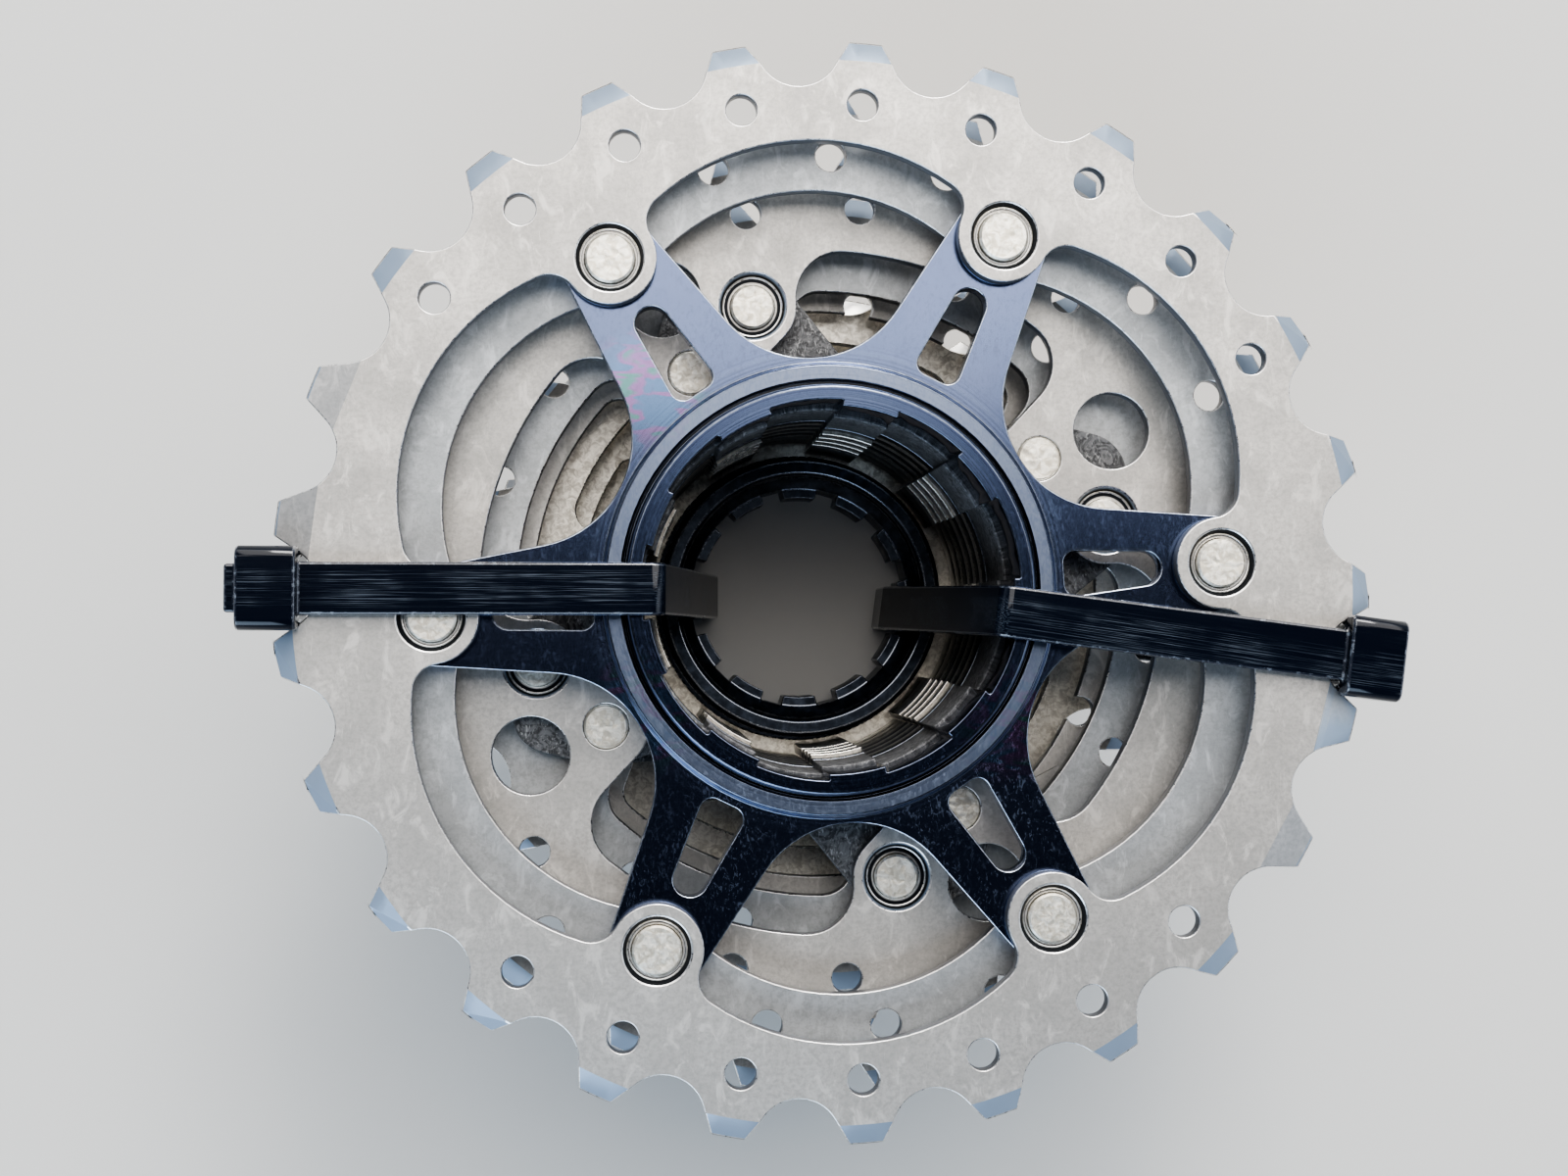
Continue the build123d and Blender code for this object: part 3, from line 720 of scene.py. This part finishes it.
def turned_rings(mix, colour, worms):
    """The colour with a pale band, a dark collar and painted shade in the groove, and the band's
    share.
    """
    reach = mix.radius()
    band = mix.band(reach, COLLAR_GROOVE[1], BAND_EDGE - BAND_RIM, soft=0.05 * MM)
    satin = mix.level(worms, low=0.35, high=0.6, start=0.5, end=0.9)
    colour = mix.blend(mix.times(band, satin), colour, BAND_PALE)
    collar = mix.level(reach, *COLLAR_GROOVE, start=0.5, end=0.0)
    colour = mix.blend(collar, colour, COLLAR_DARK)
    # painted shade in the groove between the collar and the band
    return mix.blend(mix.band(reach, *COLLAR_GROOVE, soft=0.04 * MM), colour, SHADE_BLACK), band


print("film colours in", len(FILM_SPOTS), "places")

# %% [markdown]
# The finish lays these one over another. Worn places and the turned band are duller than the dye,
# so both raise the roughness. The corners get a finish of their own: the dye has gone from them
# and they are painted paler as a highlight, except on the turned rims of the hub, which nothing
# rubs.

# %% Mix the spider's anodising
# painted highlight: both edge colours are far paler than the dye, on top of its wear
EDGE_DARK, EDGE_PALE = (0.30, 0.33, 0.39), (0.50, 0.54, 0.62)
RIM_DARK = (0.05, 0.065, 0.11)
RIM_FADE = 0.5 * MM


def navy_anodised():
    """Dyed oxide over turned aluminium."""
    mix = Finish("navy_anodised", Metallic=1.0, Coat_Weight=0.4, Coat_Roughness=0.12)
    colour, lines = dyed(mix)
    worms, worn = worn_worms(mix)
    colour = filmed(mix, mix.blend(worn, colour, DYE_WORN))
    colour, band = turned_rings(mix, colour, worms)
    roughness = mix.level(worms, low=0.5, high=0.66, start=0.16, end=0.22)
    roughness = mix.sum(roughness, mix.level(lines, low=0.3, high=0.7), share=0.04)
    dull = mix.sum(mix.times(worn, 0.5), band, share=0.45)
    relief = mix.sum(lines, worms, share=0.12)
    return mix.finish(colour, mix.sum(roughness, dull, share=0.3), relief, depth=0.003 * MM)


def anodised_highlit_edge():
    """Bright corner where the dye has worn off, painted paler as a highlight, dark on the hub's
    turned rims.
    """
    mix = Finish("anodised_highlit_edge", Metallic=1.0)
    nicks = mix.noise(size=NICK, detail=3.0, rough=0.7)
    colour = mix.blend(mix.level(nicks, low=0.35, high=0.7), EDGE_DARK, EDGE_PALE)
    rim = mix.level(mix.radius(), BAND_EDGE, BAND_EDGE + RIM_FADE, start=0.75, end=0.0)
    roughness = mix.level(nicks, low=0.3, high=0.7, start=0.16, end=0.26)
    return mix.finish(mix.blend(rim, colour, RIM_DARK), roughness)


finishes["alloy_spider"] = (navy_anodised(), anodised_highlit_edge())
print("spider", [paint.name for paint in finishes["alloy_spider"]])

# %% [markdown]
# ## Black anodised rings
#
# The spacers and the lock ring are turned aluminium too, but darker and plainer than the spider.
# Lathe lines and a little dust are all that shows of them down the bore.

# %% Mix black anodising
SPACER_BLACK = (0.03, 0.032, 0.038)
LOCK_RING_GREY = (0.06, 0.072, 0.095)
DUST_DARK, DUST_PALE = 0.75, 1.5


def black_anodised(name, tone):
    """Plain black anodising with lathe lines."""
    mix = Finish(name, Metallic=1.0)
    lines = mix.rings(pitch=0.2 * MM, detail=2.0)
    dust = mix.noise(size=1.2 * MM, detail=4.0, rough=0.65)
    share = mix.level(dust, low=0.35, high=0.75)
    colour = mix.blend(share, tinted(tone, DUST_DARK), tinted(tone, DUST_PALE))
    roughness = mix.level(dust, low=0.3, high=0.7, start=0.28, end=0.4)
    return mix.finish(colour, roughness, lines, depth=0.005 * MM)


for spacer in [name for name in sorted(nodes) if name.startswith("spacer_")]:
    finishes[spacer] = (black_anodised(f"black_{spacer}", SPACER_BLACK), dark_highlit_edge)
finishes["lock_ring"] = (black_anodised("lock_ring_grey", LOCK_RING_GREY), dark_highlit_edge)
print("pieces with a finish", len(finishes))

# %% [markdown]
# ## Chopped carbon
#
# The carbon spider is moulded from chopped tow: dark grey with pale flecks that swirl where the
# mould filled. A strongly twisted noise gives the swirl, and a narrow one drawn out in one
# direction gives the flecks. Its corners are moulded, so they have the same finish as its faces.

# %% Mix the carbon
CARBON_DARK, CARBON_GREY = (0.04, 0.041, 0.044), (0.17, 0.172, 0.178)
FLECK_PALE = (0.42, 0.42, 0.42)


def chopped_carbon():
    """Moulded chopped tow with swirling flecks."""
    mix = Finish("chopped_carbon", IOR=1.55)
    swirl = mix.noise(size=1.6 * MM, detail=4.0, rough=0.6, twist=3.5)
    drawn = mix.moved(turn=0.6, stretch=(1, 0.45, 1))
    fleck = mix.noise(size=0.45 * MM, detail=3.0, rough=0.7, where=drawn, twist=2.0)
    colour = mix.blend(mix.level(swirl, low=0.35, high=0.65), CARBON_DARK, CARBON_GREY)
    colour = mix.blend(mix.level(fleck, low=0.55, high=0.68, end=0.8), colour, FLECK_PALE)
    roughness = mix.level(fleck, low=0.4, high=0.7, start=0.5, end=0.35)
    return mix.finish(colour, roughness, mix.sum(swirl, fleck), depth=0.03 * MM)


carbon = chopped_carbon()
finishes["carbon_spider"] = (carbon, carbon)
print("carbon spider", carbon.name)

# %% [markdown]
# ## Black nylon ties
#
# The ties are glossy nylon: nearly black, with hair-thin grey scuffs along the strap where it was
# pulled through its own head. Scuffs have to run along the strap, so each tie gets a finish of its
# own, with coordinates turned to the direction it lies in and a noise stretched along them.

# %% Mix the nylon
NYLON_BLACK, SCUFF_GREY = (0.003, 0.0055, 0.013), (0.06, 0.075, 0.095)
CORNER_BLACK, CORNER_GREY = (0.012, 0.016, 0.028), (0.13, 0.15, 0.18)
HAIR = 0.1 * MM
SCUFFED_HALF = (1.3 * MM, 1.9 * MM)


def nylon(name, angle):
    """Glossy black nylon, scuffed along the strap."""
    mix = Finish(name, IOR=1.53)
    along = mix.moved(turn=-angle)
    drawn = mix.moved(stretch=(0.012, 1, 1), where=along)
    hairs = mix.noise(size=HAIR, detail=3.0, rough=0.6, where=drawn)
    patches = mix.noise(size=9 * MM, detail=3.0, rough=0.6)
    patches = mix.level(patches, low=0.40, high=0.60, start=0.25)
    strip = mix.level(mix.across(along), *SCUFFED_HALF, start=1.0, end=0.1)
    marks = mix.times(mix.level(hairs, low=0.48, high=0.66), mix.times(patches, strip))
    colour = mix.blend(marks, NYLON_BLACK, SCUFF_GREY)
    roughness = mix.level(marks, low=0.0, high=1.0, start=0.14, end=0.36)
    return mix.finish(colour, roughness, hairs, depth=0.003 * MM)


def worn_nylon():
    """Rounded corner of the nylon, glossy as moulded and paler where it was rubbed."""
    mix = Finish("worn_nylon", IOR=1.7, Coat_Weight=1.0, Coat_Roughness=0.06)
    rub = mix.noise(size=0.6 * MM, detail=3.0, rough=0.6)
    colour = mix.blend(mix.level(rub, low=0.5, high=0.72), CORNER_BLACK, CORNER_GREY)
    return mix.finish(colour, mix.level(rub, low=0.3, high=0.7, start=0.1, end=0.3))


# %% Give the ties their nylon
tie_corner = worn_nylon()
for tie in [name for name in sorted(nodes) if name.startswith("cable_tie")]:
    low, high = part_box(tie)
    centre = (low + high) / 2
    lie = math.atan2(centre.y, centre.x) if centre.x > 0 else 0.0
    finishes[tie] = (nylon(f"nylon_{tie}", lie), tie_corner)
    print(tie, "lies at", round(math.degrees(lie), 1), "degrees")

# %% [markdown]
# ## The rivets
#
# A rivet is clenched cold: the press leaves a flat bright face with a field of shallow dents and a
# crushed rim. A turned profile would be too clean, so each rivet is built ring by ring in a mesh,
# and every point of its face sinks by a little noise. The dents only go down, so the rivets stay
# inside the CAD ones they stand for.

# %% Forge a rivet
DENT = 0.05 * MM
DENT_WIDTH = 1.4 * MM
DENT_FADE, DENT_SPREAD, DENT_LAYERS = 0.8, 2.0, 3
CROWN_DIP = 0.3
FACE_RINGS = 12
FACE_STEPS = 56


def forge(shape, centre, profile):
    """Adds one clenched rivet to a mesh."""
    rim, top = profile[0]
    face = [(rim * ring / FACE_RINGS, top) for ring in range(1, FACE_RINGS)]
    loops = []
    for reach, height in face + profile:
        loop = []
        for step in range(FACE_STEPS):
            turn = 2 * math.pi * step / FACE_STEPS
            x, y = centre[0] + reach * math.cos(turn), centre[1] + reach * math.sin(turn)
            point = Vector((x, y, height))
            if height == top:
                rough = noise.fractal(point / DENT_WIDTH, DENT_FADE, DENT_SPREAD, DENT_LAYERS)
                point.z -= DENT * abs(rough)
            loop.append(shape.verts.new(point))
        loops.append(loop)
    crown = shape.verts.new((*centre, top - DENT * CROWN_DIP))
    for step in range(FACE_STEPS):
        after = (step + 1) % FACE_STEPS
        shape.faces.new((crown, loops[0][step], loops[0][after]))
        for inner, outer in zip(loops, loops[1:]):
            shape.faces.new((inner[step], outer[step], outer[after], inner[after]))
    shape.faces.new(tuple(reversed(loops[-1])))


print("a rivet's face has", FACE_RINGS * FACE_STEPS + 1, "points")

# %% [markdown]
# The press also crushes the metal's skin, so the face has a mottle of warm grey and cream. Each
# row of rivets becomes one mesh that rides on the stack and replaces its CAD row.

# %% Mix the rivet metal
CRUSHED_GREY, CRUSHED_CREAM = (0.70, 0.655, 0.56), (0.97, 0.94, 0.86)


def rivet_metal(name):
    """Bright hammered rivet head."""
    mix = Finish(name, Metallic=0.85)
    mottle = mix.noise(size=0.8 * MM, detail=3.0, rough=0.6, twist=1.2)
    fine = mix.noise(size=0.25 * MM, detail=3.0, rough=0.7)
    share = mix.level(mottle, low=0.38, high=0.62)
    colour = mix.blend(share, CRUSHED_GREY, CRUSHED_CREAM)
    roughness = mix.level(fine, low=0.3, high=0.7, start=0.34, end=0.5)
    return mix.finish(colour, roughness, mix.sum(mottle, fine, share=0.3), depth=0.02 * MM)


rivet_paint = rivet_metal("rivet_metal")
print("rivet metal has", len(rivet_paint.node_tree.nodes), "nodes")

# %% Set the rivets in their rows
SHARP_ANGLE = math.radians(35)

for node, (centres, profile) in rivet_rows.items():
    shape = bmesh.new()
    for centre in centres:
        forge(shape, centre, profile)
    forged_mesh = bpy.data.meshes.new(node + "_forged")
    shape.to_mesh(forged_mesh)
    shape.free()
    forged_mesh.shade_smooth()
    forged_mesh.set_sharp_from_angle(angle=SHARP_ANGLE)
    forged_mesh.materials.append(rivet_paint)
    forged = bpy.data.objects.new(node + "_forged", forged_mesh)
    scene.collection.objects.link(forged)
    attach(forged, "stack")
    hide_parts(node)
    finishes[node] = (rivet_paint, rivet_paint)
    print(forged.name, len(forged_mesh.polygons), "faces")

# %% [markdown]
# ## Soft edges
#
# No real edge is perfectly sharp, and the thin bright line along an edge is what tells the eye
# that a plate is metal. The CAD meshes stay as they are. Three modifiers do the work on top: weld
# closes the seams of the import, a planar dissolve turns each flat face into one polygon, and a
# bevel cuts the corner. The bevel paints its new faces with the second finish in the list, so
# edges are brighter than faces: a painted highlight on top of the light the bevel catches.

# %% Round a piece's edges
FLAT_ANGLE = math.radians(0.6)
EDGE_ANGLE = math.radians(32)
EDGE_STEPS = 2
EDGE_FINISH = 1


def soften(piece, width):
    """Adds the three modifiers that round a CAD piece's edges by width."""
    weld = piece.modifiers.new("weld", "WELD")
    weld.merge_threshold = SEAM
    flat = piece.modifiers.new("flat", "DECIMATE")
    flat.decimate_type = "DISSOLVE"
    flat.angle_limit = FLAT_ANGLE
    edge = piece.modifiers.new("edge", "BEVEL")
    edge.width = width
    edge.segments = EDGE_STEPS
    edge.limit_method = "ANGLE"
    edge.angle_limit = EDGE_ANGLE
    edge.use_clamp_overlap = False
    edge.miter_outer = "MITER_ARC"
    edge.harden_normals = True
    edge.material = EDGE_FINISH


print("corners sharper than", round(math.degrees(EDGE_ANGLE)), "degrees are rounded")

# %% Paint and soften every CAD piece
EDGE_WIDTHS = {
    "sprocket": 0.12 * MM,
    "alloy": 0.14 * MM,
    "carbon": 0.15 * MM,
    "spacer": 0.1 * MM,
    "lock": 0.12 * MM,
    "cable": 0.28 * MM,
}

for name, piece in sorted(nodes.items()):
    piece.data.materials.clear()
    for paint in finishes[name]:
        piece.data.materials.append(paint)
    soften(piece, EDGE_WIDTHS[name.split("_")[0]])
print("softened", len(nodes))

# %% [markdown]
